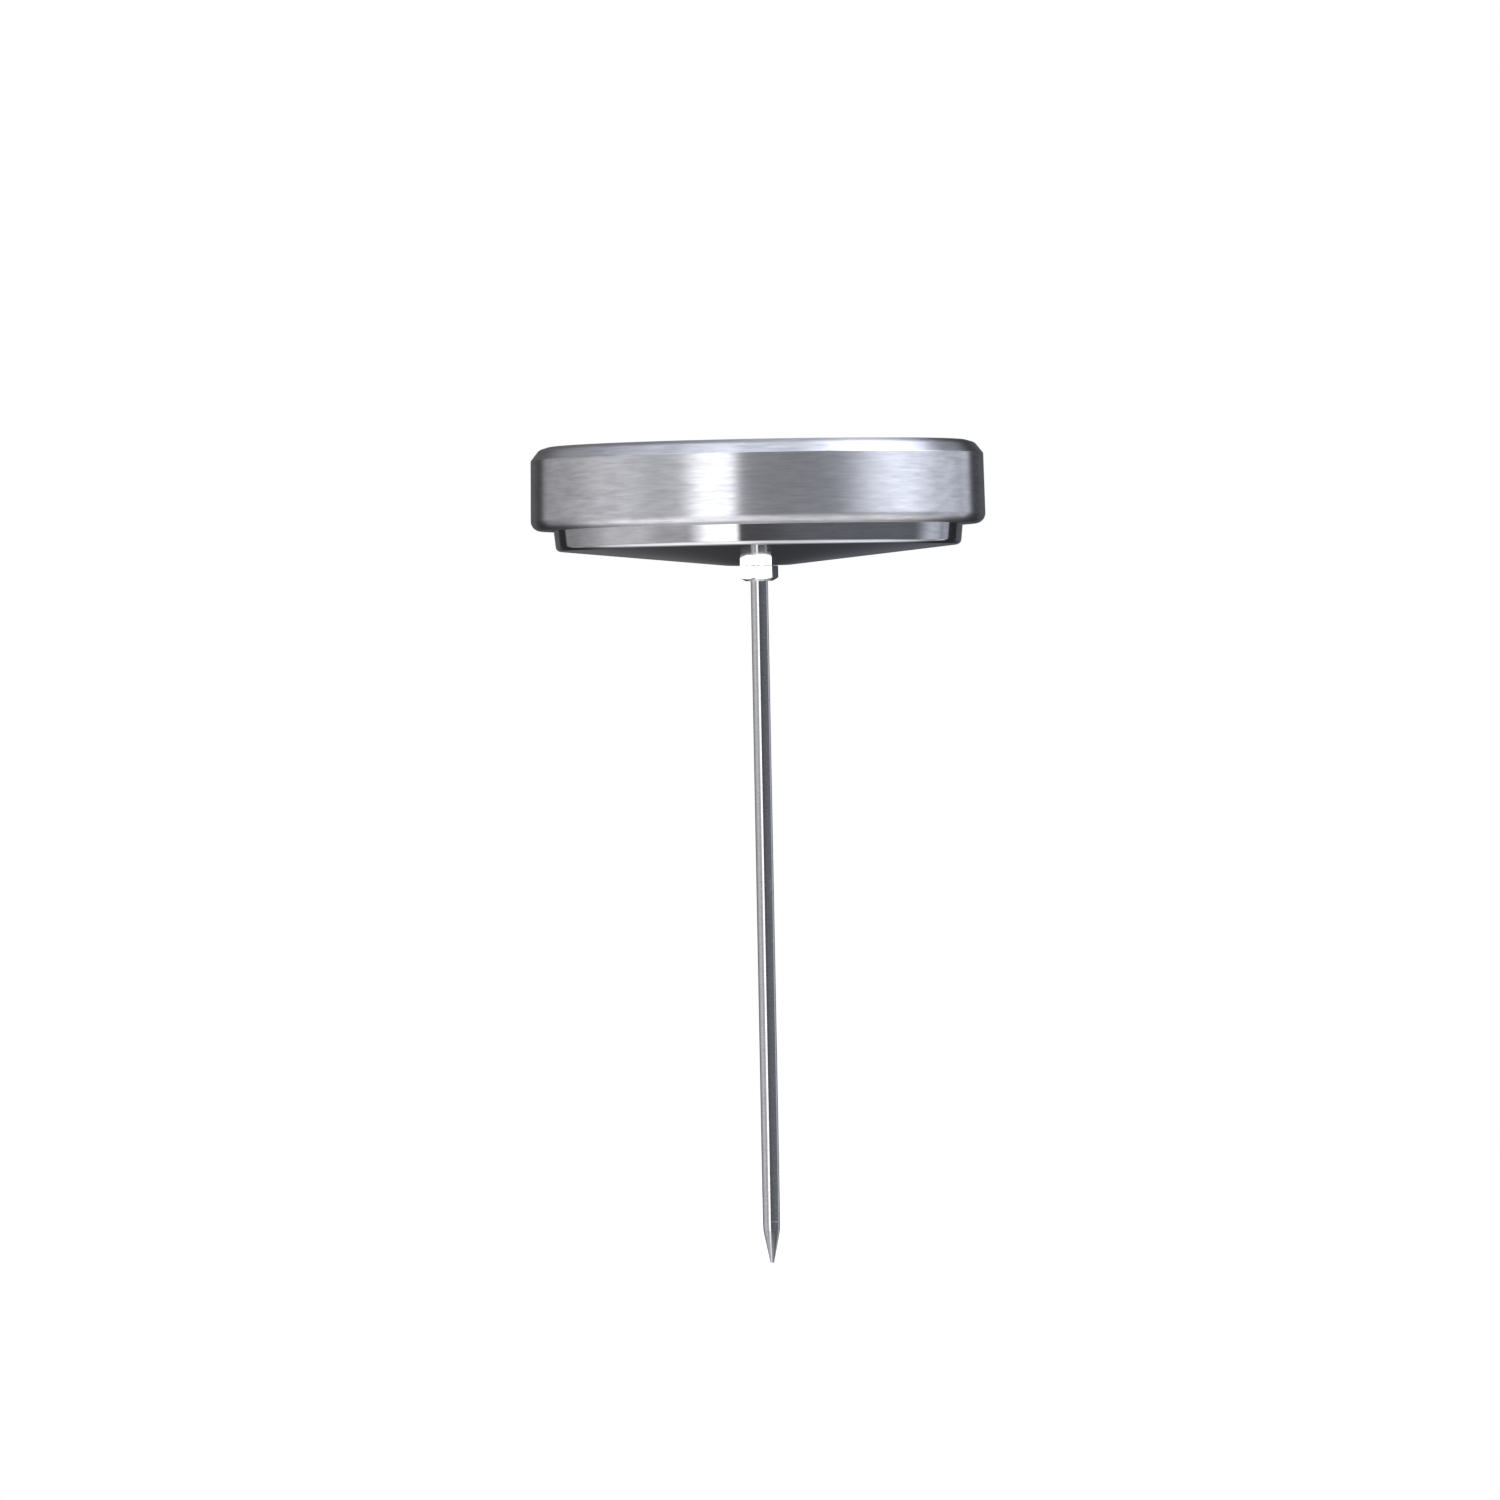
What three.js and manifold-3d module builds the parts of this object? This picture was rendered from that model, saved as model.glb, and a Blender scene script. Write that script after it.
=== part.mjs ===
// Dial meat thermometer: a round dial head on a thin pointed stem, as twenty-two separate pieces.
// Millimetres. +Z points out of the dial, the stem runs down -Z and +Y is twelve o'clock.
// The origin is on the stem's axis, at the underside of the calibration nut.

import * as THREE from "three";
import { mergeVertices } from "three/addons/utils/BufferGeometryUtils.js";
import Module from "manifold-3d";

const wasm = await Module();
wasm.setup();

// ---- driving dimensions ----

const wideSides = 48; // facets round the head's large rings
const narrowSides = 32; // facets round the stem and what fits in or on it
const shaftSides = 16; // facets round the pointer's shaft

// case of the head
const bezelRadius = 38.1; // a 3 inch head
const bezelFoot = 8.95; // underside of the bezel's rolled lip
const bezelFace = 22.95; // front of the flat ring
const bezelSheet = 0.6;
const windowRadius = 29.5;
const wallTaper = 0.2; // how much narrower the wall is at the shoulder than at the foot
const shoulderWide = 3.1; // shoulder between the wall and the flat ring, sloping in two steps
const shoulderHigh = 2.25;
const shoulderBreak = { inward: 1.6, down: 0.45 }; // where the slope changes, from the wall and the face
const footBend = 1.7; // outer bend radius at the bezel's foot
const lipRadius = 34.7;
const cupRadius = 34.25; // case back, where it enters the bezel
const cupTaper = 0.35; // how much narrower the cup is above its lower bend
const cupBend = 0.9;
const cupSheet = 0.6;
const flangeRadius = 36.4;
const hubFlat = 2.6; // underside of the case back round its hole
const hubFlatRadius = 5.2;
const hubHole = 2.25;
const coneRadius = 33.0; // outer end of the shallow conical back
const coneRise = 2.9;

// what the head holds, from the case back's flange up to the front seal
const stackRadius = 37.2;
const rimSealThick = 1.0;
const rimSealWide = 2.2;
const supportHigh = 5.6;
const dialThick = 0.5;
const dialRadius = 36.8;
const dialHole = 1.6;
const spacerHigh = 2.8;
const ringWall = 0.7; // wall of the two pressed rings
const ringShelf = 2.6; // width of the shelf on each of them
const lensThick = 1.8;
const lensRadius = 35.9;
const frontSealInner = 30.3;
const frontSealOuter = 34.7;

// calibration nut, with the neck that the case turns on
const nutFlats = 5.7; // across flats
const nutHigh = 2.5;
const nutCorner = 0.55; // how far inside the flats the lower end's chamfer starts
const neckRadius = 2.1;
const neckTop = 4.9;
const stemHole = 1.5;
const washerInner = 2.35;
const washerOuter = 3.9;
const washerThick = 0.3;
const washerMiddle = 3.55;
const washerWave = 0.14;
const washerWaves = 3;
const retainerFloor = 3.9;
const retainerThick = 0.8;
const retainerInner = 2.15;
const retainerSlot = 2.9;
const retainerOuter = 3.8;
const retainerTeeth = 6;
const toothShare = 0.6; // share of each sixth of the ring that its tooth fills
const slotEnds = [0.68, 0.92]; // where the slot beside the tooth starts and ends

// stem
const stemRadius = 1.45;
const stemBore = 1.2;
const stemTop = 5.5;
const stemFoot = -107.3; // where the pointed tip begins
const tipPoint = -114.3; // 4 1/2 inches below the nut
const tipRound = 0.3;
const tipSlope = -20; // where the cone meets the round of the point, in degrees
const spigotRadius = 1.15;
const spigotHigh = 1.5;

// pointer and its shaft
const shaftRadius = 0.3;
const shaftTop = 19.2;
const shaftFoot = -72;
const shaftRunning = 0.07; // radial clearance in the bushes
const hubBore = 0.35;
const hubFoot = 17.9;
const hubTop = 19.5;
const hubDome = 0.25;
const hubWaist = 0.95;
const hubFlangeRadius = 1.35;
const pointerFloor = 18.5;
const pointerThick = 0.4;
const pointerGap = 0.05;
const pointerHole = 1.0;
const pointerHalfWidth = 1.25;
const pointerTail = 5.2;
const pointerShoulder = 19.8; // where the blade starts to taper
const pointerTip = 24.5;
const pointerTipHalf = 0.12;
const pointerSlot = { from: 20.0, to: 22.8, half: 0.22 };
const scaleMiddle = 160; // the reading at twelve o'clock
const degreesPerReading = 2.5;
const restReading = 130;

// shaft guides and the bimetal helix, down the stem
const bushFoot = 2.5;
const bushFlangeTop = 6.0;
const bushFlangeRadius = 1.4;
const guideHigh = 2;
const guideFoots = { middle_guide: -36, lower_guide: -68 };
const collarTop = -70;
const collarStep = -71.6;
const collarFoot = -73.4;
const collarRadius = 0.95;
const helixSeat = 0.67; // radius of the two pegs that the helix's ends are fixed to
const helixTop = -72;
const helixFoot = -104.1;
const helixRadius = 0.85;
const helixPitch = 2.4;
const stripWide = 1.6;
const stripThick = 0.2;
const stripSteps = 12; // straight steps in each turn of the strip
const anchorPeg = -102.6;
const anchorTop = -104.2;
const anchorFoot = -105.5;

// heights that follow from the stack
const flangeFloor = bezelFoot + bezelSheet;
const flangeTop = flangeFloor + cupSheet;
const supportFloor = flangeTop + rimSealThick;
const dialFloor = supportFloor + supportHigh;
const dialTop = dialFloor + dialThick;
const lensFloor = dialTop + spacerHigh;
const lensTop = lensFloor + lensThick;
const frontSealTop = bezelFace - bezelSheet;

// ---- finishes ----

function metal(color, roughness) {
  return new THREE.MeshStandardMaterial({ color, roughness, metalness: 1 });
}

function painted(color, roughness) {
  return new THREE.MeshStandardMaterial({ color, roughness, metalness: 0 });
}

const finishes = {
  brushedSteel: metal(0xc9cacb, 0.32),
  polishedSteel: metal(0xdcdddd, 0.1),
  springSteel: metal(0x9a9ca0, 0.3),
  aluminium: metal(0xb4b6b8, 0.45),
  brass: metal(0xb8954a, 0.3),
  bimetal: metal(0xa08c74, 0.4),
  rubber: painted(0x1a1a1a, 0.8),
  dialPaint: painted(0x2c2d31, 0.7),
  redPaint: painted(0xc8252c, 0.4),
  glass: new THREE.MeshStandardMaterial({
    color: 0xf4f8f8,
    roughness: 0.03,
    metalness: 0,
    transparent: true,
    opacity: 0.25,
  }),
};

// ---- helpers ----

// LatheGeometry turns its profile about Y: this stands it up along Z
const zUp = new THREE.Matrix4().set(
  1, 0, 0, 0,
  0, 0, -1, 0,
  0, 1, 0, 0,
  0, 0, 0, 1,
);

// points along an arc of a profile, angles in degrees from the +r direction
function arc(r, z, radius, from, to, steps = 3) {
  return Array.from({ length: steps + 1 }, (_, i) => {
    const angle = THREE.MathUtils.degToRad(from + ((to - from) * i) / steps);
    return [r + radius * Math.cos(angle), z + radius * Math.sin(angle)];
  });
}

// a closed body of revolution about Z from [radius, height] points
function turned(points, sides) {
  const loop = points.map(([r, z]) => new THREE.Vector2(r, z));
  if (THREE.ShapeUtils.area(loop) < 0) loop.reverse();
  const isRing = loop.every((point) => point.x > 0);
  if (isRing) loop.push(loop[0].clone());
  return new THREE.LatheGeometry(loop, sides).applyMatrix4(zUp);
}

// a plain ring between two radii and two heights, and a disc with no hole
function ring(inner, outer, floor, top, sides) {
  return turned([[inner, floor], [outer, floor], [outer, top], [inner, top]], sides);
}

function disc(radius, floor, top, sides) {
  return turned([[0, floor], [radius, floor], [radius, top], [0, top]], sides);
}

// a flat outline given thickness upwards from a height
function plate(shape, floor, thick, curveSegments) {
  const options = { depth: thick, bevelEnabled: false, curveSegments };
  return new THREE.ExtrudeGeometry(shape, options).translate(0, 0, floor);
}

function toSolid(geometry) {
  const bare = geometry.clone();
  bare.deleteAttribute("normal");
  bare.deleteAttribute("uv");
  const merged = mergeVertices(bare);
  const corners = Array.from(merged.index.array);
  const triVerts = [];
  for (let i = 0; i < corners.length; i += 3) {
    const [a, b, c] = corners.slice(i, i + 3);
    if (a !== b && b !== c && c !== a) triVerts.push(a, b, c);
  }
  return new wasm.Manifold(new wasm.Mesh({
    numProp: 3,
    vertProperties: new Float32Array(merged.attributes.position.array),
    triVerts: new Uint32Array(triVerts),
  }));
}

function toGeometry(solid) {
  const mesh = solid.getMesh();
  const geometry = new THREE.BufferGeometry();
  geometry.setAttribute("position", new THREE.BufferAttribute(mesh.vertProperties, 3));
  geometry.setIndex(new THREE.BufferAttribute(mesh.triVerts, 1));
  geometry.computeVertexNormals();
  return geometry;
}

// ---- head ----

// rolled stainless bezel: lip under the flange, wall, sloping shoulder, flat ring, turned-in edge
function bezelRing() {
  const footInner = footBend - bezelSheet;
  const shoulderFoot = [bezelRadius - wallTaper, bezelFace - shoulderHigh];
  const slopeBreak = [bezelRadius - shoulderBreak.inward, bezelFace - shoulderBreak.down];
  const flatRadius = bezelRadius - shoulderWide;
  return turned([
    [lipRadius, bezelFoot],
    ...arc(bezelRadius - footBend, bezelFoot + footBend, footBend, -90, 0),
    shoulderFoot,
    slopeBreak,
    [flatRadius, bezelFace],
    [windowRadius + bezelSheet / 2, bezelFace],
    [windowRadius, bezelFace - bezelSheet / 2],
    [windowRadius, frontSealTop],
    [flatRadius - bezelSheet / 6, frontSealTop],
    [slopeBreak[0] - bezelSheet / 2, slopeBreak[1] - bezelSheet],
    [shoulderFoot[0] - bezelSheet, shoulderFoot[1] - bezelSheet / 2],
    ...arc(bezelRadius - footBend, bezelFoot + footBend, footInner, 0, -90),
    [lipRadius, flangeFloor],
  ], wideSides);
}

// pressed case back: flat round its hole, shallow cone, bend, side of the cup, flange
function caseBack() {
  const coneFoot = [hubFlatRadius, hubFlat];
  const coneEnd = [coneRadius, hubFlat + coneRise];
  const sideRadius = cupRadius - cupTaper;
  const bendHeight = hubFlat + coneRise + cupBend;
  const inside = cupBend - cupSheet / 2;
  return turned([
    [hubHole, hubFlat],
    coneFoot,
    coneEnd,
    ...arc(sideRadius - cupBend, bendHeight, cupBend, -60, 0),
    [cupRadius, bezelFoot],
    [cupRadius, flangeFloor],
    [flangeRadius, flangeFloor],
    [flangeRadius, flangeTop],
    [cupRadius - cupSheet, flangeTop],
    [cupRadius - cupSheet, bezelFoot],
    ...arc(sideRadius - cupBend, bendHeight + cupSheet / 2, inside, 0, -60),
    [coneEnd[0], coneEnd[1] + cupSheet],
    [coneFoot[0], coneFoot[1] + cupSheet],
    [hubHole, hubFlat + cupSheet],
  ], wideSides);
}

// pressed ring that holds the dial up, with a shelf under the dial's edge
function dialSupportRing() {
  return turned([
    [stackRadius - ringWall, supportFloor],
    [stackRadius, supportFloor],
    [stackRadius, dialFloor],
    [stackRadius - ringShelf, dialFloor],
    [stackRadius - ringShelf, dialFloor - ringWall],
    [stackRadius - ringWall, dialFloor - ringWall],
  ], wideSides);
}

// pressed ring that holds the dial down and the lens off it
function lensSpacerRing() {
  return turned([
    [stackRadius - ringWall, dialTop],
    [stackRadius, dialTop],
    [stackRadius, lensFloor],
    [stackRadius - ringShelf, lensFloor],
    [stackRadius - ringShelf, lensFloor - ringWall],
    [stackRadius - ringWall, lensFloor - ringWall],
  ], wideSides);
}

function lens() {
  return disc(lensRadius, lensFloor, lensTop, wideSides);
}

// gasket between the case back's flange and the stack above it
function rimGasket() {
  return ring(stackRadius - rimSealWide, stackRadius, flangeTop, supportFloor, wideSides);
}

// gasket between the lens and the flat ring of the bezel
function lensGasket() {
  return ring(frontSealInner, frontSealOuter, lensTop, frontSealTop, wideSides);
}

// wavy spring washer: its grip keeps the head where it is turned to on the neck
function frictionWasher() {
  const half = washerThick / 2;
  const flat = ring(washerInner, washerOuter, washerMiddle - half, washerMiddle + half, narrowSides);
  const places = flat.attributes.position;
  for (let i = 0; i < places.count; i += 1) {
    const angle = Math.atan2(places.getY(i), places.getX(i));
    places.setZ(i, places.getZ(i) + washerWave * Math.sin(washerWaves * angle));
  }
  return flat;
}

// ---- nut and stem ----

// hexagon with two flats facing -Y and +Y, chamfered at its lower end, and a round neck above it
function hexNut() {
  const corner = nutFlats / Math.sqrt(3);
  const prism = new THREE.CylinderGeometry(corner, corner, nutHigh, 6, 1, false, Math.PI / 6)
    .applyMatrix4(zUp)
    .translate(0, 0, nutHigh / 2);
  const chamferFoot = nutFlats / 2 - nutCorner;
  const chamferRise = (corner - chamferFoot) * Math.tan(Math.PI / 6);
  const chamfer = turned([
    [0, 0],
    [chamferFoot, 0],
    [corner, chamferRise],
    [corner, nutHigh],
    [0, nutHigh],
  ], wideSides);
  const neck = disc(neckRadius, nutHigh / 2, neckTop, narrowSides);
  const bore = disc(stemHole, -nutHigh, neckTop + nutHigh, narrowSides);
  const body = toSolid(prism).intersect(toSolid(chamfer)).add(toSolid(neck));
  return toGeometry(body.subtract(toSolid(bore)));
}

// push-on retaining ring: teeth grip the neck and hold the spring washer down on the case back
function hubRetainer() {
  const shape = new THREE.Shape().absarc(0, 0, retainerOuter, 0, 2 * Math.PI, false);
  const hole = new THREE.Path();
  const pitch = (2 * Math.PI) / retainerTeeth;
  for (let tooth = 0; tooth < retainerTeeth; tooth += 1) {
    const [slotStart, slotEnd] = slotEnds.map((share) => (tooth + share) * pitch);
    hole.absarc(0, 0, retainerInner, tooth * pitch, (tooth + toothShare) * pitch, false);
    hole.absarc(0, 0, retainerSlot, slotStart, slotEnd, false);
  }
  hole.closePath();
  shape.holes.push(hole);
  return plate(shape, retainerFloor, retainerThick, 6);
}

// pointed end plug: a peg inside the tube and a cone with a small rounded point
function stemTip() {
  return turned([
    [0, stemFoot + spigotHigh],
    [spigotRadius, stemFoot + spigotHigh],
    [spigotRadius, stemFoot],
    [stemRadius, stemFoot],
    ...arc(0, tipPoint + tipRound, tipRound, tipSlope, -90),
  ], narrowSides);
}

// flanged brass bush in the mouth of the tube
function upperBush() {
  return turned([
    [shaftRadius + shaftRunning, bushFoot],
    [spigotRadius, bushFoot],
    [spigotRadius, stemTop],
    [bushFlangeRadius, stemTop],
    [bushFlangeRadius, bushFlangeTop],
    [shaftRadius + shaftRunning, bushFlangeTop],
  ], narrowSides);
}

// ---- pointer and its works ----

// straight blade with a round tail and a slotted, tapering point, drawn along +Y
function pointerShape() {
  const shape = new THREE.Shape();
  shape.absarc(0, pointerHalfWidth - pointerTail, pointerHalfWidth, Math.PI, 2 * Math.PI, false);
  shape.lineTo(pointerHalfWidth, pointerShoulder);
  shape.lineTo(pointerTipHalf, pointerTip);
  shape.lineTo(-pointerTipHalf, pointerTip);
  shape.lineTo(-pointerHalfWidth, pointerShoulder);
  shape.closePath();
  shape.holes.push(new THREE.Path().absarc(0, 0, pointerHole, 0, 2 * Math.PI, true));
  const slot = new THREE.Path();
  slot.moveTo(-pointerSlot.half, pointerSlot.from);
  slot.lineTo(-pointerSlot.half, pointerSlot.to);
  slot.lineTo(pointerSlot.half, pointerSlot.to);
  slot.lineTo(pointerSlot.half, pointerSlot.from);
  slot.closePath();
  shape.holes.push(slot);
  return shape;
}

function pointerBlade() {
  const restTurn = THREE.MathUtils.degToRad((scaleMiddle - restReading) * degreesPerReading);
  return plate(pointerShape(), pointerFloor, pointerThick, 8).rotateZ(restTurn);
}

// turned hub with the blade clamped between its two flanges
function pointerHub() {
  return turned([
    [hubBore, hubFoot],
    [hubFlangeRadius, hubFoot],
    [hubFlangeRadius, pointerFloor - pointerGap],
    [hubWaist, pointerFloor - pointerGap],
    [hubWaist, pointerFloor + pointerThick + pointerGap],
    [hubFlangeRadius, pointerFloor + pointerThick + pointerGap],
    [hubFlangeRadius, hubTop - hubDome],
    [hubFlangeRadius - hubDome, hubTop],
    [hubBore, hubTop],
  ], narrowSides);
}

function pointerShaft() {
  return disc(shaftRadius, shaftFoot, shaftTop, shaftSides);
}

// collar on the shaft's lower end, with the peg that carries the helix's free end
function helixCollar() {
  return turned([
    [hubBore, collarFoot],
    [helixSeat, collarFoot],
    [helixSeat, collarStep],
    [collarRadius, collarStep],
    [collarRadius, collarTop],
    [hubBore, collarTop],
  ], narrowSides);
}

// bimetal strip wound into a helix: a long thin box bent round the axis step by step
function bimetalHelix() {
  const climb = helixTop - helixFoot - stripWide;
  const turns = climb / helixPitch;
  const steps = Math.round(turns * stripSteps);
  const strip = new THREE.BoxGeometry(1, stripWide, stripThick, steps, 1, 1);
  const places = strip.attributes.position;
  for (let i = 0; i < places.count; i += 1) {
    const along = places.getX(i) + 0.5;
    const angle = along * turns * 2 * Math.PI;
    const radius = helixRadius + places.getZ(i);
    const height = helixFoot + stripWide / 2 + climb * along + places.getY(i);
    places.setXYZ(i, radius * Math.cos(angle), radius * Math.sin(angle), height);
  }
  strip.computeVertexNormals();
  return strip;
}

// plug fixed in the tube, with the peg that holds the helix's lower end still
function helixAnchor() {
  return turned([
    [0, anchorFoot],
    [spigotRadius, anchorFoot],
    [spigotRadius, anchorTop],
    [helixSeat, anchorTop],
    [helixSeat, anchorPeg],
    [0, anchorPeg],
  ], narrowSides);
}

// ---- assembly ----

const thermometer = new THREE.Group();

function place(parent, name, geometry, finish) {
  const mesh = new THREE.Mesh(geometry, finish);
  mesh.name = name;
  parent.add(mesh);
}

const head = new THREE.Group();
place(head, "bezel_ring", bezelRing(), finishes.brushedSteel);
place(head, "case_back", caseBack(), finishes.brushedSteel);
place(head, "rim_gasket", rimGasket(), finishes.rubber);
place(head, "dial_support_ring", dialSupportRing(), finishes.aluminium);
place(head, "dial_plate", ring(dialHole, dialRadius, dialFloor, dialTop, wideSides), finishes.dialPaint);
place(head, "lens_spacer_ring", lensSpacerRing(), finishes.aluminium);
place(head, "lens", lens(), finishes.glass);
place(head, "lens_gasket", lensGasket(), finishes.rubber);
place(head, "friction_washer", frictionWasher(), finishes.springSteel);
thermometer.add(head);

const stem = new THREE.Group();
place(stem, "hex_nut", hexNut(), finishes.polishedSteel);
place(stem, "hub_retainer", hubRetainer(), finishes.springSteel);
const tube = ring(stemBore, stemRadius, stemFoot, stemTop, narrowSides);
place(stem, "stem_tube", tube, finishes.polishedSteel);
place(stem, "stem_tip", stemTip(), finishes.polishedSteel);
place(stem, "upper_bush", upperBush(), finishes.brass);
for (const [name, foot] of Object.entries(guideFoots)) {
  const guide = ring(shaftRadius + shaftRunning, spigotRadius, foot, foot + guideHigh, narrowSides);
  place(stem, name, guide, finishes.brass);
}
place(stem, "bimetal_helix", bimetalHelix(), finishes.bimetal);
place(stem, "helix_anchor", helixAnchor(), finishes.springSteel);
thermometer.add(stem);

const pointer = new THREE.Group();
place(pointer, "pointer", pointerBlade(), finishes.redPaint);
place(pointer, "pointer_hub", pointerHub(), finishes.polishedSteel);
place(pointer, "pointer_shaft", pointerShaft(), finishes.springSteel);
place(pointer, "helix_collar", helixCollar(), finishes.brass);
thermometer.add(pointer);

export default thermometer;
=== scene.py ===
import math

import bmesh
import bpy
from mathutils import Matrix, Vector


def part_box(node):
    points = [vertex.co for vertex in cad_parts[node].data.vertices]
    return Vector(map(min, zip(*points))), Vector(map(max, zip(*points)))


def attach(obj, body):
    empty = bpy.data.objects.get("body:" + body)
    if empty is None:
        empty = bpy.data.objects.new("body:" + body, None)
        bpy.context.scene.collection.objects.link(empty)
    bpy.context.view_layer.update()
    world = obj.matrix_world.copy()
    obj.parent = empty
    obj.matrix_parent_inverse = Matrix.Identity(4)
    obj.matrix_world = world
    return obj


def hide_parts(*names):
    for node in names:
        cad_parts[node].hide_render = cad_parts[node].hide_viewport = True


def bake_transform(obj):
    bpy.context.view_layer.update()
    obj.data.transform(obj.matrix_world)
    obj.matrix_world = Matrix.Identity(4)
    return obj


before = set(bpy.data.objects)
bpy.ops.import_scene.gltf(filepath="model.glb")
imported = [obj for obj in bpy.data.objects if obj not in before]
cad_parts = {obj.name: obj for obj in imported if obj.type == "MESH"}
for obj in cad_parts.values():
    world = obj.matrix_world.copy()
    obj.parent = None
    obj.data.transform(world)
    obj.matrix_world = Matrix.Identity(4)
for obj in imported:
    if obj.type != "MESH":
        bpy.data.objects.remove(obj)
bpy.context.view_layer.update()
print("frame loaded:", len(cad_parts), "pieces")

mm = 0.001  # the pieces below are drawn in millimetres and built in metres
bezelLow, bezelHigh = (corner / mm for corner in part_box("bezel_ring"))
caseLow, caseHigh = (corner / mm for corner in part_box("case_back"))
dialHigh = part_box("dial_plate")[1] / mm
lensLow, lensHigh = (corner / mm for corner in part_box("lens"))
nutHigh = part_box("hex_nut")[1] / mm
tubeLow, tubeHigh = (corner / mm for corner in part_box("stem_tube"))
tipLow, tipHigh = (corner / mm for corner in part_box("stem_tip"))
bladeLow, bladeHigh = (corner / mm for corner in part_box("pointer"))
helixLow, helixHigh = (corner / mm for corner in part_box("bimetal_helix"))


# shader helpers

def addNode(tree, kind, **settings):
    node = tree.nodes.new(kind)
    for key, value in settings.items():
        setattr(node, key, value)
    return node


# feeds a socket from another socket, or sets it when it is given a plain value
def feed(tree, source, target):
    if isinstance(source, bpy.types.NodeSocket):
        tree.links.new(source, target)
    else:
        target.default_value = source


def calc(tree, operation, first, second=0.0, third=0.0, clamp=False):
    node = addNode(tree, "ShaderNodeMath", operation=operation, use_clamp=clamp)
    for socket, source in zip(node.inputs, (first, second, third)):
        feed(tree, source, socket)
    return node.outputs[0]


def remap(tree, value, fromLow, fromHigh, toLow, toHigh, smooth=False):
    kind = "SMOOTHSTEP" if smooth else "LINEAR"
    node = addNode(tree, "ShaderNodeMapRange", interpolation_type=kind)
    for name, source in (("Value", value), ("From Min", fromLow), ("From Max", fromHigh),
                         ("To Min", toLow), ("To Max", toHigh)):
        feed(tree, source, node.inputs[name])
    return node.outputs[0]


def blendColours(tree, share, first, second):
    node = addNode(tree, "ShaderNodeMix", data_type="RGBA")
    feed(tree, share, node.inputs["Factor"])
    feed(tree, first, node.inputs[6])
    feed(tree, second, node.inputs[7])
    return node.outputs[2]


def noise(tree, vector, scale, detail=2.0, roughness=0.5, across=None):
    node = addNode(tree, "ShaderNodeTexNoise", noise_dimensions="3D" if across is None else "4D")
    feed(tree, vector, node.inputs["Vector"])
    feed(tree, scale, node.inputs["Scale"])
    feed(tree, detail, node.inputs["Detail"])
    feed(tree, roughness, node.inputs["Roughness"])
    if across is not None:
        feed(tree, across, node.inputs["W"])
    return node.outputs["Fac"]


def newGroup(name, inputs, outputs):
    group = bpy.data.node_groups.new(name, "ShaderNodeTree")
    for socketName, kind, default in inputs:
        socket = group.interface.new_socket(name=socketName, in_out="INPUT", socket_type=kind)
        if kind == "NodeSocketFloat":
            socket.default_value = default
    for socketName in outputs:
        group.interface.new_socket(name=socketName, in_out="OUTPUT", socket_type="NodeSocketFloat")
    return group, group.nodes.new("NodeGroupInput"), group.nodes.new("NodeGroupOutput")


# lines that a lathe or a belt leaves round the axis: short streaks, fine across and long around
def makeTurnedGrain():
    group, entry, leave = newGroup(
        "turnedGrain",
        [("Position", "NodeSocketVector", None), ("Around", "NodeSocketFloat", 8.0),
         ("Fineness", "NodeSocketFloat", 4.0)],
        ["Lines", "Bands"],
    )
    inMm = addNode(group, "ShaderNodeVectorMath", operation="SCALE")
    feed(group, entry.outputs["Position"], inMm.inputs[0])
    inMm.inputs["Scale"].default_value = 1 / mm
    parts = addNode(group, "ShaderNodeSeparateXYZ")
    feed(group, inMm.outputs[0], parts.inputs[0])
    x, y, z = parts.outputs
    square = calc(group, "MULTIPLY_ADD", x, x, calc(group, "MULTIPLY", y, y))
    radius = calc(group, "MAXIMUM", calc(group, "SQRT", square), 0.05)
    around = calc(group, "DIVIDE", entry.outputs["Around"], radius)
    for socketName, share, detail in (("Lines", 1.0, 3.0), ("Bands", 0.4, 2.0)):
        fineness = calc(group, "MULTIPLY", entry.outputs["Fineness"], share)
        spot = addNode(group, "ShaderNodeCombineXYZ")
        feed(group, calc(group, "MULTIPLY", x, around), spot.inputs[0])
        feed(group, calc(group, "MULTIPLY", y, around), spot.inputs[1])
        feed(group, calc(group, "MULTIPLY", z, fineness), spot.inputs[2])
        across = calc(group, "MULTIPLY", radius, fineness)
        found = noise(group, spot.outputs[0], 1.0, detail, 0.6, across)
        feed(group, remap(group, found, 0.28, 0.72, 0.0, 1.0), leave.inputs[socketName])
    return group


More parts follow.
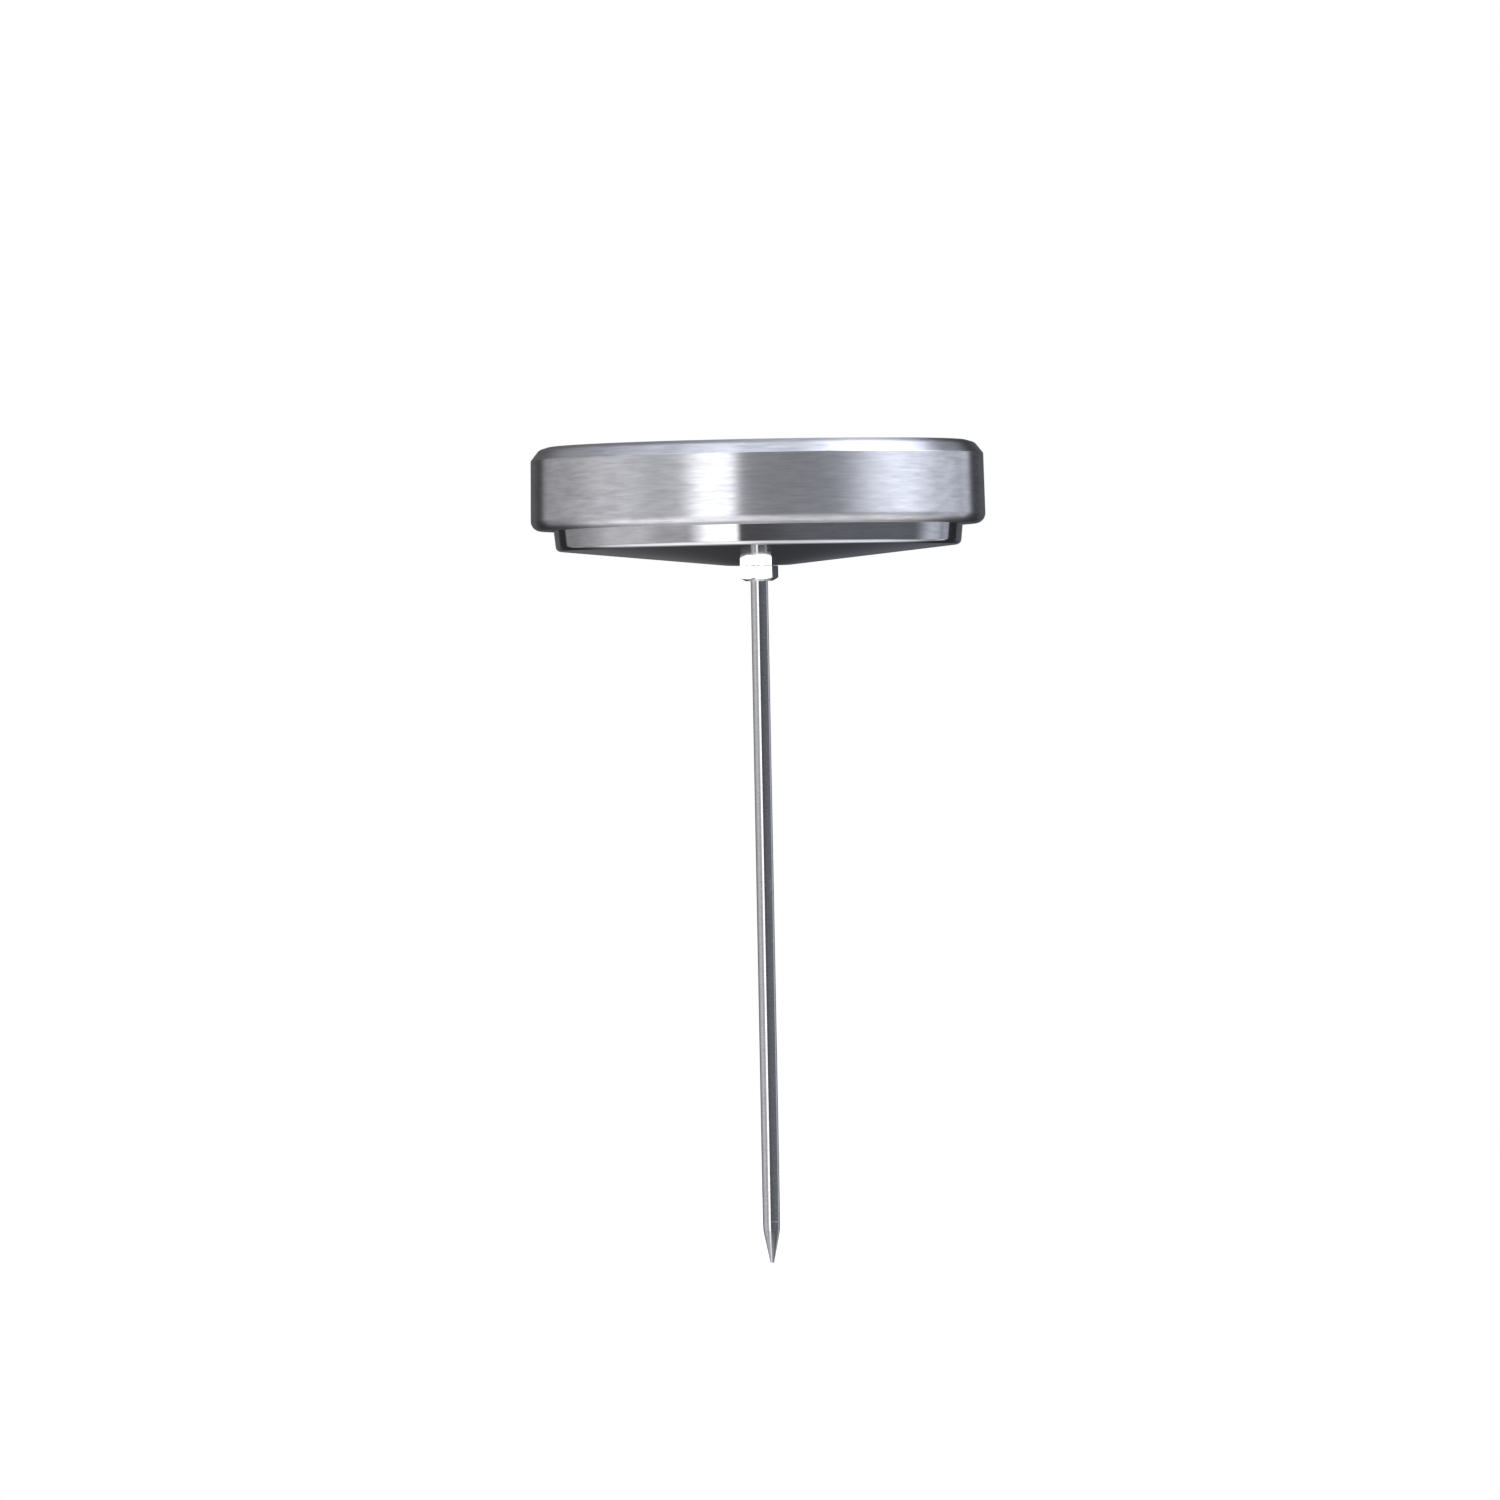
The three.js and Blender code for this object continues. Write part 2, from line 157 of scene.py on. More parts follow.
# traces of handling: soft smudges and a few hairline scratches
def makeHandling():
    group, entry, leave = newGroup(
        "handling",
        [("Position", "NodeSocketVector", None), ("Smudge Size", "NodeSocketFloat", 12.0),
         ("Scratch Size", "NodeSocketFloat", 7.0)],
        ["Smudges", "Scratches"],
    )
    smudgeScale = calc(group, "DIVIDE", 1 / mm, entry.outputs["Smudge Size"])
    smudge = noise(group, entry.outputs["Position"], smudgeScale, 3.0, 0.55)
    feed(group, remap(group, smudge, 0.45, 0.75, 0.0, 1.0, smooth=True), leave.inputs["Smudges"])
    scratchScale = calc(group, "DIVIDE", 1 / mm, entry.outputs["Scratch Size"])
    hairlines = None
    for turn in ((0.4, 0.9, 0.2), (1.9, 0.3, 1.1)):
        slant = addNode(group, "ShaderNodeMapping")
        feed(group, entry.outputs["Position"], slant.inputs["Vector"])
        slant.inputs["Rotation"].default_value = turn
        slant.inputs["Scale"].default_value = (1.0, 0.18, 1.0)
        wander = noise(group, slant.outputs[0], scratchScale, 1.0, 0.4)
        offLine = calc(group, "ABSOLUTE", calc(group, "SUBTRACT", wander, 0.5))
        line = remap(group, offLine, 0.0, 0.006, 1.0, 0.0)
        hairlines = line if hairlines is None else calc(group, "MAXIMUM", hairlines, line)
    patches = noise(group, entry.outputs["Position"], smudgeScale, 1.0, 0.5)
    some = remap(group, patches, 0.52, 0.64, 0.0, 1.0, smooth=True)
    feed(group, calc(group, "MULTIPLY", hairlines, some), leave.inputs["Scratches"])
    return group


# fine specks: the tooth of a printed or painted surface, or settled dust
def makeSpeckle():
    group, entry, leave = newGroup(
        "speckle",
        [("Position", "NodeSocketVector", None), ("Grain Size", "NodeSocketFloat", 0.12)],
        ["Tooth", "Dust"],
    )
    scale = calc(group, "DIVIDE", 1 / mm, entry.outputs["Grain Size"])
    tooth = noise(group, entry.outputs["Position"], scale, 2.0, 0.6)
    feed(group, remap(group, tooth, 0.3, 0.7, 0.0, 1.0), leave.inputs["Tooth"])
    motes = addNode(group, "ShaderNodeTexVoronoi", feature="F1")
    feed(group, entry.outputs["Position"], motes.inputs["Vector"])
    feed(group, calc(group, "MULTIPLY", scale, 0.12), motes.inputs["Scale"])
    feed(group, remap(group, motes.outputs["Distance"], 0.05, 0.09, 1.0, 0.0), leave.inputs["Dust"])
    return group


turnedGrain = makeTurnedGrain()
handling = makeHandling()
speckle = makeSpeckle()


# puts an effect into a material, fed with the object's own coordinates
def useGroup(tree, group, **values):
    node = addNode(tree, "ShaderNodeGroup", node_tree=group)
    here = addNode(tree, "ShaderNodeTexCoord")
    feed(tree, here.outputs["Object"], node.inputs["Position"])
    for key, value in values.items():
        node.inputs[key].default_value = value
    return node.outputs


def newMaterial(name):
    material = bpy.data.materials.new(name)
    material.use_nodes = True
    tree = material.node_tree
    return material, tree, tree.nodes["Principled BSDF"]


def addBump(tree, shader, height, depth):
    bump = addNode(tree, "ShaderNodeBump")
    bump.inputs["Strength"].default_value = 1.0
    bump.inputs["Distance"].default_value = depth * mm
    feed(tree, height, bump.inputs["Height"])
    feed(tree, bump.outputs[0], shader.inputs["Normal"])


def tint(colour, share):
    return (colour[0] * share, colour[1] * share, colour[2] * share, 1.0)


# what every bare metal shares: lines and bands make up the streaks, which run from darker to lighter
streaks = dict(lines=0.65, bands=0.35, darker=0.9, lighter=0.35, roughSpread=0.08, grease=0.03,
               scratchRough=0.3, scratchDeep=0.8)


# bare metal with turning or brushing marks round the axis; depth is in mm
def turnedMetal(name, colour, roughness, spread=0.3, anisotropy=0.5, around=3.0, fineness=6.0,
                depth=0.003, marks=0.3):
    material, tree, shader = newMaterial(name)
    grain = useGroup(tree, turnedGrain, Around=around, Fineness=fineness)
    touched = useGroup(tree, handling)
    banded = calc(tree, "MULTIPLY", grain["Bands"], streaks["bands"])
    shade = calc(tree, "MULTIPLY_ADD", grain["Lines"], streaks["lines"], banded)
    darker = tint(colour, 1 - streaks["darker"] * spread)
    lighter = tint(colour, 1 + streaks["lighter"] * spread)
    feed(tree, blendColours(tree, shade, darker, lighter), shader.inputs["Base Color"])
    dull, keen = 1 + streaks["roughSpread"], 1 - streaks["roughSpread"]
    lined = remap(tree, shade, 0.0, 1.0, roughness * dull, roughness * keen)
    greased = calc(tree, "MULTIPLY_ADD", touched["Smudges"], streaks["grease"], lined)
    rougher, deeper = streaks["scratchRough"] * marks, -streaks["scratchDeep"] * marks
    scratched = calc(tree, "MULTIPLY_ADD", touched["Scratches"], rougher, greased)
    feed(tree, scratched, shader.inputs["Roughness"])
    scored = calc(tree, "MULTIPLY_ADD", touched["Scratches"], deeper, shade)
    addBump(tree, shader, scored, depth)
    shader.inputs["Metallic"].default_value = 1.0
    shader.inputs["Anisotropic"].default_value = anisotropy
    shader.inputs["Anisotropic Rotation"].default_value = 0.25
    return material


film = dict(grease=0.08, toothRough=0.06, toothDeep=0.004, coatRough=0.12)  # what paints and inks share


# paint or ink with a fine tooth; grain is in mm
def paint(name, colour, roughness, tooth, grain=0.1, coat=0.0):
    material, tree, shader = newMaterial(name)
    specks = useGroup(tree, speckle, **{"Grain Size": grain})
    touched = useGroup(tree, handling)
    low, high = tint(colour, 1 - tooth), tint(colour, 1 + tooth)
    feed(tree, blendColours(tree, specks["Tooth"], low, high), shader.inputs["Base Color"])
    worn = calc(tree, "MULTIPLY_ADD", touched["Smudges"], film["grease"], roughness)
    toothed = calc(tree, "MULTIPLY_ADD", specks["Tooth"], film["toothRough"], worn)
    feed(tree, toothed, shader.inputs["Roughness"])
    addBump(tree, shader, specks["Tooth"], film["toothDeep"])
    shader.inputs["Coat Weight"].default_value = coat
    shader.inputs["Coat Roughness"].default_value = film["coatRough"]
    return material


rubber = dict(colour=(0.012, 0.012, 0.013, 1), dust=(0.16, 0.15, 0.14, 1), dustShare=0.35, grain=0.2,
              smooth=0.62, rough=0.8, depth=0.01)


def blackRubber(name):
    material, tree, shader = newMaterial(name)
    specks = useGroup(tree, speckle, **{"Grain Size": rubber["grain"]})
    dusty = calc(tree, "MULTIPLY", specks["Dust"], rubber["dustShare"])
    feed(tree, blendColours(tree, dusty, rubber["colour"], rubber["dust"]), shader.inputs["Base Color"])
    toothed = remap(tree, specks["Tooth"], 0.0, 1.0, rubber["smooth"], rubber["rough"])
    feed(tree, toothed, shader.inputs["Roughness"])
    addBump(tree, shader, specks["Tooth"], rubber["depth"])
    return material


glass = dict(colour=(0.99, 0.995, 0.99, 1), shade=(0.92, 0.925, 0.92, 1), bending=1.5, smudgeSize=18.0,
             smudgeRough=0.035)


# clear glass that lets lamplight through to what it covers
def clearGlass(name):
    material, tree, shader = newMaterial(name)
    touched = useGroup(tree, handling, **{"Smudge Size": glass["smudgeSize"]})
    shader.inputs["Base Color"].default_value = glass["colour"]
    shader.inputs["Transmission Weight"].default_value = 1.0
    shader.inputs["IOR"].default_value = glass["bending"]
    smudged = remap(tree, touched["Smudges"], 0.0, 1.0, 0.0, glass["smudgeRough"])
    feed(tree, smudged, shader.inputs["Roughness"])
    through = addNode(tree, "ShaderNodeBsdfTransparent")
    through.inputs["Color"].default_value = glass["shade"]
    path = addNode(tree, "ShaderNodeLightPath")
    mix = addNode(tree, "ShaderNodeMixShader")
    feed(tree, path.outputs["Is Shadow Ray"], mix.inputs[0])
    feed(tree, shader.outputs[0], mix.inputs[1])
    feed(tree, through.outputs[0], mix.inputs[2])
    out = next(node for node in tree.nodes if node.type == "OUTPUT_MATERIAL")
    feed(tree, mix.outputs[0], out.inputs["Surface"])
    return material


metals = dict(
    rimSteel=dict(colour=(0.62, 0.62, 0.625), roughness=0.3, spread=0.36, anisotropy=0.95, around=9.0,
                  fineness=2.3, depth=0.002, marks=0.0),
    cupSteel=dict(colour=(0.55, 0.55, 0.555), roughness=0.07, spread=0.25, anisotropy=0.3, around=9.0,
                  fineness=2.4, depth=0.0004, marks=0.05),
    polishedSteel=dict(colour=(0.6, 0.6, 0.6), roughness=0.12, anisotropy=0.3, depth=0.001),
    platedSteel=dict(colour=(0.88, 0.88, 0.88), roughness=0.13, spread=0.06, anisotropy=0.0, depth=0.001,
                     marks=0.1),
    springSteel=dict(colour=(0.36, 0.37, 0.39), roughness=0.28),
    satinAluminium=dict(colour=(0.62, 0.63, 0.64), roughness=0.38, spread=0.2, anisotropy=0.4, around=8.0,
                        fineness=3.0, depth=0.004),
    turnedBrass=dict(colour=(0.62, 0.45, 0.19), roughness=0.24, around=2.0, fineness=8.0),
    rolledBimetal=dict(colour=(0.45, 0.37, 0.29), roughness=0.34, anisotropy=0.4, around=6.0, fineness=5.0),
    hubMetal=dict(colour=(0.72, 0.72, 0.72), roughness=0.16, anisotropy=0.6, around=2.0, fineness=9.0,
                  depth=0.002),
)
paints = dict(
    dialPaint=dict(colour=(0.018, 0.019, 0.023), roughness=0.5, tooth=0.25, grain=0.14),
    whiteInk=dict(colour=(0.72, 0.73, 0.74), roughness=0.55, tooth=0.06),
    darkInk=dict(colour=(0.035, 0.035, 0.038), roughness=0.45, tooth=0.2),
    redPaint=dict(colour=(0.55, 0.018, 0.022), roughness=0.3, tooth=0.08, grain=0.16, coat=0.4),
)

finishes = {name: turnedMetal(name, **look) for name, look in metals.items()}
finishes |= {name: paint(name, **look) for name, look in paints.items()}
finishes["blackRubber"] = blackRubber("blackRubber")
finishes["clearGlass"] = clearGlass("clearGlass")
print("finishes made:", len(finishes))


# shape helpers

# turns (across, up, easing radius) corners into a line of points with round corners
def easedLine(corners, closed=True, stepDegrees=7):
    points = []
    count = len(corners)
    for i, (across, up, radius) in enumerate(corners):
        here = Vector((across, up))
        if radius == 0 or (not closed and i in (0, count - 1)):
            points.append(here)
            continue
        back = (Vector(corners[i - 1][:2]) - here).normalized()
        on = (Vector(corners[(i + 1) % count][:2]) - here).normalized()
        half = back.angle(on) / 2
        centre = here + (back + on).normalized() * radius / math.sin(half)
        reach = radius / math.tan(half)
        first = here + back * reach - centre
        last = here + on * reach - centre
        start = math.atan2(first.y, first.x)
        turn = (math.atan2(last.y, last.x) - start + math.pi) % math.tau - math.pi
        steps = max(2, math.ceil(math.degrees(abs(turn)) / stepDegrees))
        for step in range(steps + 1):
            angle = start + turn * step / steps
            points.append(centre + Vector((math.cos(angle), math.sin(angle))) * radius)
    return points


def finishPiece(name, bm, finish, sharpDegrees=32):
    bmesh.ops.remove_doubles(bm, verts=bm.verts[:], dist=1e-4 * mm)
    bmesh.ops.recalc_face_normals(bm, faces=bm.faces[:])
    mesh = bpy.data.meshes.new(name)
    bm.to_mesh(mesh)
    bm.free()
    mesh.shade_smooth()
    mesh.set_sharp_from_angle(angle=math.radians(sharpDegrees))
    mesh.materials.append(finishes[finish])
    piece = bpy.data.objects.new(name, mesh)
    bpy.context.scene.collection.objects.link(piece)
    return piece


# keeps wide flats flat where they run into small round edges
def evenNormals(piece):
    weighting = piece.modifiers.new("evenNormals", "WEIGHTED_NORMAL")
    weighting.keep_sharp = True
    return piece


# spins a profile round Z; a profile that starts on the axis also ends on it
def turned(name, corners, finish, sides=192):
    isOpen = corners[0][0] == 0
    line = easedLine(corners, closed=not isOpen)
    bm = bmesh.new()
    verts = [bm.verts.new((point.x * mm, 0, point.y * mm)) for point in line]
    pairs = list(zip(verts, verts[1:]))
    if not isOpen:
        pairs.append((verts[-1], verts[0]))
    edges = [bm.edges.new(pair) for pair in pairs]
    bmesh.ops.spin(bm, geom=verts + edges, axis=(0, 0, 1), cent=(0, 0, 0), angle=math.tau,
                   steps=sides, use_merge=True)
    return evenNormals(finishPiece(name, bm, finish))


# one closed ring of points at an angle round Z, from (across, up) pairs in mm
def ringAt(bm, angle, profile):
    return [bm.verts.new((across * mm * math.cos(angle), across * mm * math.sin(angle), up * mm))
            for across, up in profile]


def joinRings(bm, pairs):
    for here, then in pairs:
        for i in range(len(here)):
            k = (i + 1) % len(here)
            bm.faces.new((here[i], then[i], then[k], here[k]))


def softEdges(piece, width, overDegrees):
    edging = piece.modifiers.new("softEdges", "BEVEL")
    edging.width = width * mm
    edging.segments = 3
    edging.limit_method = "ANGLE"
    edging.angle_limit = math.radians(overDegrees)
    return evenNormals(piece)


def settle(piece, body, slot, *nodes):
    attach(piece, body)
    if nodes:
        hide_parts(*nodes)
    return piece


# case of the head

rim = dict(sheet=0.6, window=29.5, lip=34.7, footBend=1.7, taper=0.2, shoulderWide=3.1, shoulderHigh=2.25,
           breakInward=1.6, breakDown=0.45, edge=0.3, breakEase=1.4)


def makeRim():
    outer, foot, face = bezelHigh.x, bezelLow.z, bezelHigh.z
    sheet = rim["sheet"]
    shoulder = (outer - rim["taper"], face - rim["shoulderHigh"])
    slopeBreak = (outer - rim["breakInward"], face - rim["breakDown"])
    flat = outer - rim["shoulderWide"]
    return turned("bezelRing", [
        (rim["lip"], foot, 0.12),
        (outer, foot, rim["footBend"]),
        (*shoulder, rim["edge"]),
        (*slopeBreak, rim["breakEase"]),
        (flat, face, rim["edge"]),
        (rim["window"], face, 0.3),
        (rim["window"], face - sheet, 0.04),
        (flat - sheet / 6, face - sheet, 0.1),
        (slopeBreak[0] - sheet / 2, slopeBreak[1] - sheet, 0.5),
        (shoulder[0] - sheet, shoulder[1] - sheet / 2, 0.2),
        (outer - sheet, foot + sheet, rim["footBend"] - sheet),
        (rim["lip"], foot + sheet, 0.12),
    ], "rimSteel", 320)


cup = dict(sheet=0.6, hole=2.25, flat=5.2, side=34.25, taper=0.35, bend=0.9, coneRise=2.95)


def makeCup():
    sheet, low = cup["sheet"], caseLow.z
    foot, flange = bezelLow.z, caseHigh.x
    top = caseHigh.z
    side, narrow = cup["side"], cup["side"] - cup["taper"]
    bendUp = low + cup["coneRise"]
    return turned("caseBack", [
        (cup["hole"], low, 0.1),
        (cup["flat"], low, 6.0),
        (narrow, bendUp, cup["bend"]),
        (side, foot, 4.0),
        (side, top - sheet, 0.25),
        (flange, top - sheet, 0.1),
        (flange, top, 0.1),
        (side - sheet, top, 0.5),
        (side - sheet, foot, 4.0),
        (narrow - sheet, bendUp + sheet, 0.4),
        (cup["flat"], low + sheet, 6.0),
        (cup["hole"], low + sheet, 0.1),
    ], "cupSteel", 320)


settle(makeRim(), "head", "bezel_steel", "bezel_ring")
settle(makeCup(), "head", "case_steel", "case_back")
print("case made")


# lens, seals and the rings of the stack

def plainRing(name, node, inner, finish, ease=0.08, sides=224):
    low, high = (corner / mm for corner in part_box(node))
    return turned(name, [
        (inner, low.z, ease), (high.x, low.z, ease), (high.x, high.z, ease), (inner, high.z, ease),
    ], finish, sides)


# a pressed ring with its shelf at the top
def shelfRing(name, node, wall, shelf, finish):
    low, high = (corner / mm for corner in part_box(node))
    return turned(name, [
        (high.x - wall, low.z, 0.1),
        (high.x, low.z, 0.1),
        (high.x, high.z, 0.25),
        (high.x - shelf, high.z, 0.1),
        (high.x - shelf, high.z - wall, 0.1),
        (high.x - wall, high.z - wall, 0.15),
    ], finish, 224)


stack = dict(rimSealInner=35.0, frontSealInner=30.3, dialHole=1.6, ringWall=0.7, ringShelf=2.6)

settle(turned("lens", [
    (0, lensLow.z, 0), (lensHigh.x, lensLow.z, 0.15), (lensHigh.x, lensHigh.z, 0.15), (0, lensHigh.z, 0),
], "clearGlass", 224), "head", "lens_glass", "lens")
settle(plainRing("lensGasket", "lens_gasket", stack["frontSealInner"], "blackRubber", 0.12),
       "head", "seal_rubber", "lens_gasket")
settle(plainRing("rimGasket", "rim_gasket", stack["rimSealInner"], "blackRubber", 0.2),
       "head", "seal_rubber", "rim_gasket")
settle(plainRing("dialPlate", "dial_plate", stack["dialHole"], "dialPaint", 0.05),
       "head", "dial_paint", "dial_plate")
for ringName, ringNode in (("dialSupportRing", "dial_support_ring"), ("lensSpacerRing", "lens_spacer_ring")):
    settle(shelfRing(ringName, ringNode, stack["ringWall"], stack["ringShelf"], "satinAluminium"),
           "head", "ring_aluminium", ringNode)
print("lens, dial and rings made")


# printing

# strokes of each sign on a grid four wide and eight high, as (closed, corners)
signs = {
    "0": [(True, [(0, 0, 1.7), (4, 0, 1.7), (4, 8, 1.7), (0, 8, 1.7)])],
    "1": [(False, [(0.5, 6.4, 0), (2.1, 8, 0.1), (2.1, 0, 0)]), (False, [(0.3, 0, 0), (3.9, 0, 0)])],
    "2": [(False, [(0, 6.2, 0), (0, 8, 1.7), (4, 8, 1.7), (4, 4.9, 1.2), (0, 0, 0.1), (4, 0, 0)])],
    "3": [(False, [(0, 6.8, 0), (0, 8, 1.1), (3.8, 8, 1.7), (3.8, 4.3, 1.6), (1.5, 4.3, 0)]),
          (False, [(1.5, 4.3, 0), (4, 4.3, 1.8), (4, 0, 1.8), (0, 0, 1.1), (0, 1.2, 0)])],
    "4": [(False, [(3.1, 0, 0), (3.1, 5, 0)]), (False, [(2.6, 8, 0), (0, 1.9, 0.1), (4, 1.9, 0)])],
    "5": [(False, [(3.7, 8, 0), (0.2, 8, 0.1), (0.2, 4.8, 0.1), (4, 4.8, 1.9), (4, 0, 1.9),
                   (0, 0, 1.1), (0, 1.2, 0)])],
    "6": [(True, [(0, 0, 1.7), (4, 0, 1.7), (4, 4.8, 1.7), (0, 4.8, 1.7)]),
          (False, [(0, 2.4, 0), (0, 8, 1.8), (3.9, 8, 1.0), (3.9, 6.9, 0)])],
    "7": [(False, [(0, 7.0, 0), (0, 8, 0.1), (4, 8, 0.2), (1.6, 0, 0)])],
    "8": [(True, [(0.2, 4.4, 1.6), (3.8, 4.4, 1.6), (3.8, 8, 1.6), (0.2, 8, 1.6)]),
          (True, [(0, 0, 1.8), (4, 0, 1.8), (4, 4.4, 1.8), (0, 4.4, 1.8)])],
    "F": [(False, [(0, 0, 0), (0, 8, 0.1), (3.8, 8, 0)]), (False, [(0, 4.2, 0), (3.1, 4.2, 0)])],
    "°": [(True, [(0.4, 5.9, 1.0), (2.4, 5.9, 1.0), (2.4, 8, 1.0), (0.4, 8, 1.0)])],
}
signs["9"] = [(closed, [(4 - x, 8 - y, ease) for x, y, ease in corners]) for closed, corners in signs["6"]]


# one line of ink of even width as flat faces, with round ends where it is open
def inkLine(bm, corners, closed, width, placing, capSteps=8):
    line = easedLine(corners, closed, 14)
    count = len(line)
    left, right = [], []
    for i, point in enumerate(line):
        before = line[i - 1] if closed or i > 0 else point
        after = line[(i + 1) % count] if closed or i < count - 1 else point
        inward = (point - before).normalized() if before != point else (after - point).normalized()
        outward = (after - point).normalized() if after != point else inward
        along = (inward + outward).normalized()
        side = Vector((-along.y, along.x)) * (width / 2 / max(along.dot(outward), 0.3))
        left.append(point + side)
        right.append(point - side)

    def toVerts(points):
        return [bm.verts.new(placing @ Vector((p.x, p.y, 0))) for p in points]

    if closed:
        outer, inner = toVerts(left), toVerts(right)
        for i in range(count):
            k = (i + 1) % count
            bm.faces.new((outer[i], outer[k], inner[k], inner[i]))
        return

    def cap(centre, fromSide):
        arm = fromSide - centre
        turns = [math.pi * -step / capSteps for step in range(1, capSteps)]
        return [centre + Matrix.Rotation(turn, 2) @ arm for turn in turns]

    outline = left + cap(line[-1], left[-1]) + right[::-1] + cap(line[0], right[0])
    bm.faces.new(toVerts(outline))


# writes text centred on its placing; corners tighter than half the stroke would fold the ink over
def signLine(bm, text, height, stroke, placing, narrow=0.5, gap=0.42):
    unit = (height - stroke) / 8
    wide = (height * narrow - stroke) / 4
    pitch = height * narrow * (1 + gap)
    start = -(len(text) - 1) * pitch / 2 - 2 * wide
    for i, sign in enumerate(text):
        for closed, corners in signs[sign]:
            scaled = [(start + i * pitch + x * wide, stroke / 2 + y * unit,
                       max(ease * min(unit, wide), 0.52 * stroke) if ease else 0)
                      for x, y, ease in corners]
            inkLine(bm, scaled, closed, stroke, placing)


ink = dict(thick=0.03, sink=0.01)  # in mm: all ink starts a little below the surface that it stands on


# gives flat ink its small thickness
def printPiece(name, bm, finish, body, slot):
    flat = bm.faces[:]
    for face in flat:
        if face.normal.z < 0:
            face.normal_flip()
    grown = bmesh.ops.extrude_face_region(bm, geom=flat)["geom"]
    raised = [item for item in grown if isinstance(item, bmesh.types.BMVert)]
    bmesh.ops.translate(bm, verts=raised, vec=(0, 0, ink["thick"] * mm))
    mesh = bpy.data.meshes.new(name)
    bmesh.ops.recalc_face_normals(bm, faces=bm.faces[:])
    bm.to_mesh(mesh)
    bm.free()
    mesh.materials.append(finishes[finish])
    piece = bpy.data.objects.new(name, mesh)
    bpy.context.scene.collection.objects.link(piece)
    return settle(piece, body, slot)


# where flat ink drawn in millimetres goes: across and up the dial, its height and its turn
def placed(across, up, height, turnDegrees=0):
    shift = Matrix.Translation(Vector((across, up, height)) * mm)
    return shift @ Matrix.Rotation(math.radians(turnDegrees), 4, "Z") @ Matrix.Scale(mm, 4)


scale = dict(low=120, high=200, middle=160, degreesPerMark=2.5, outer=27.4, minor=1.7, major=2.65,
             line=0.2, majorLine=0.3, firstLine=0.55)


def scaleAngle(reading):
    return -(reading - scale["middle"]) * scale["degreesPerMark"]


def makeScaleMarks():
    bm = bmesh.new()
    floor = dialHigh.z - ink["sink"]
    for reading in range(scale["low"], scale["high"] + 1):
        isMajor = reading % 5 == 0
        isFirst = reading == scale["low"]
        length = scale["major"] if isMajor else scale["minor"]
        width = scale["firstLine"] if isFirst else scale["majorLine"] if isMajor else scale["line"]
        half = width / 2
        placing = placed(0, 0, floor, scaleAngle(reading))
        outer = scale["outer"]
        corners = [(-half, outer - length), (half, outer - length), (half, outer), (-half, outer)]
        bm.faces.new([bm.verts.new(placing @ Vector((x, y, 0))) for x, y in corners])
    return printPiece("scaleMarks", bm, "whiteInk", "head", "scale_ink")


numbers = dict(height=3.7, stroke=0.44, baseline=30.95)


def makeRimNumbers():
    bm = bmesh.new()
    for reading in range(scale["low"], scale["high"] + 1, 10):
        turn = scaleAngle(reading)
        spot = Matrix.Rotation(math.radians(turn), 3, "Z") @ Vector((0, numbers["baseline"], 0))
        placing = placed(spot.x, spot.y, bezelHigh.z - ink["sink"], turn)
        signLine(bm, str(reading), numbers["height"], numbers["stroke"], placing)
    return printPiece("rimNumbers", bm, "darkInk", "head", "number_ink")


chart = dict(readings=(145, 160, 165, 170), top=-10.9, row=2.25, left=-6.6, height=1.35, stroke=0.2,
             ruleAcross=-9.6, ruleOver=0.5, ruleThick=0.2,
             bars=((3.4, 0.7, 3.6, 3.0), (3.4, 0.7, 3.6), (5.2,), (3.4, 0.7, 3.6)),
             barStart=-4.2, barGap=0.65, barThick=0.62, unitAt=(-21.8, -7.6), unitHeight=2.1, unitStroke=0.26)


# a small chart of serving temperatures, with plain bars where words would be
def makeDialChart():
    bm = bmesh.new()
    floor = dialHigh.z - ink["sink"]
    flat = placed(0, 0, floor)
    thick = chart["barThick"]
    for i, (reading, bars) in enumerate(zip(chart["readings"], chart["bars"])):
        base = chart["top"] - i * chart["row"]
        signLine(bm, f"{reading}°", chart["height"], chart["stroke"], placed(chart["left"], base, floor))
        across = chart["barStart"]
        middle = base + chart["height"] / 2
        for length in bars:
            start, stop = across + thick / 2, across + length - thick / 2 + 0.01
            inkLine(bm, [(start, middle, 0), (stop, middle, 0)], False, thick, flat)
            across += length + chart["barGap"]
    ruleTop = chart["top"] + chart["height"] + chart["ruleOver"]
    ruleFoot = chart["top"] - (len(chart["readings"]) - 1) * chart["row"] - chart["ruleOver"]
    rule = [(chart["ruleAcross"], ruleTop, 0), (chart["ruleAcross"], ruleFoot, 0)]
    inkLine(bm, rule, False, chart["ruleThick"], flat)
    signLine(bm, "°F", chart["unitHeight"], chart["unitStroke"], placed(*chart["unitAt"], floor), gap=0.1)
    return printPiece("dialChart", bm, "whiteInk", "head", "scale_ink")


pictures = dict(ovenAt=(-13.4, -11.9), ovenWide=3.9, ovenHigh=3.3, ovenLine=0.2, ovenEase=0.25,
                doorIn=0.55, doorFoot=0.5, doorShort=1.7, doorEase=0.15, knobs=4, knobDown=0.6, knobDot=0.32,
                probeAt=(0.6, -7.3), probeLong=9.0, headWide=1.0, probeLine=0.32, headEase=0.3,
                ringAt=(21.6, -9.6), ringWide=2.2, ringLine=0.25)


def boxLine(bm, left, foot, wide, high, ease, line, placing):
    corners = [(left, foot, ease), (left + wide, foot, ease),
               (left + wide, foot + high, ease), (left, foot + high, ease)]
    inkLine(bm, corners, True, line, placing)


